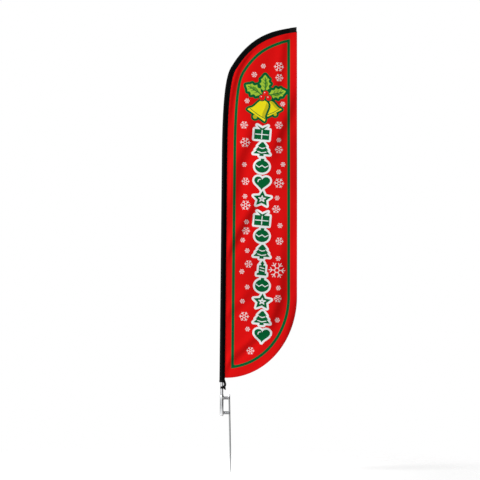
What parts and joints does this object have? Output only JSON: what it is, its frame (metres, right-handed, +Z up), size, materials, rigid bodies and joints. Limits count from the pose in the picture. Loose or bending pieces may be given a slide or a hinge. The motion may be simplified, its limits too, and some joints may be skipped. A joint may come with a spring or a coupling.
{
  "type": "feather flag with pole",
  "caption": "Tall feather-shaped flag in a black pole sleeve on a slip-jointed pole with a bent flexible tip, set in an H-shaped ground stake with a spike.",
  "frame": {"origin": "middle of the closed foot of the stake's socket, at ground level", "axes": "+Z up along the pole and its swivel axis, +X the way the flag flies and the side of the spike, -Y the printed face"},
  "size_m": [0.7711, 0.0451, 4.4732],
  "materials": {
    "zinc_steel": "satin",
    "welded_bar": "matte",
    "aluminium": "satin",
    "nylon": "satin",
    "black_plastic": "matte",
    "fibreglass": "satin",
    "rubber": "matte",
    "black_cloth": "matte",
    "webbing": "matte",
    "red_cloth": "matte"
  },
  "bodies": {
    "stake": {"socket_foot": "zinc_steel", "socket_tube": "zinc_steel", "spike_rod": "zinc_steel", "lower_bridge": "welded_bar", "upper_bridge": "welded_bar"},
    "liner": {"socket_liner": "nylon"},
    "lower_pole": {"foot_plug": "black_plastic", "pole_section_1": "aluminium"},
    "middle_pole": {"pole_section_2": "aluminium", "stop_collar_2": "black_plastic"},
    "upper_pole": {"pole_section_3": "aluminium", "stop_collar_3": "black_plastic"},
    "flag": {"tip_ferrule": "aluminium", "fibreglass_tip": "fibreglass", "tip_cap": "rubber", "pole_sleeve": "black_cloth", "tip_patch": "webbing", "mouth_binding": "webbing", "flag_panel": "red_cloth", "tie_strap": "webbing", "tie_knot": "webbing"}
  },
  "joints": [
    {"name": "pole_swivel", "type": "hinge", "parent": "stake", "child": "liner", "pos_m": [0, 0, 0.1], "axis": [0, 0, 1], "continuous": true},
    {"name": "pole_lift", "type": "slide", "parent": "liner", "child": "lower_pole", "axis": [0, 0, 1], "range_m": [0, 0.21]},
    {"name": "slip_joint_1", "type": "slide", "parent": "lower_pole", "child": "middle_pole", "axis": [0, 0, 1], "range_m": [0, 0.105]},
    {"name": "slip_joint_2", "type": "slide", "parent": "middle_pole", "child": "upper_pole", "axis": [0, 0, 1], "range_m": [0, 0.105]},
    {"name": "slip_joint_3", "type": "slide", "parent": "upper_pole", "child": "flag", "axis": [0, 0, 1], "range_m": [0, 0.105]}
  ]
}
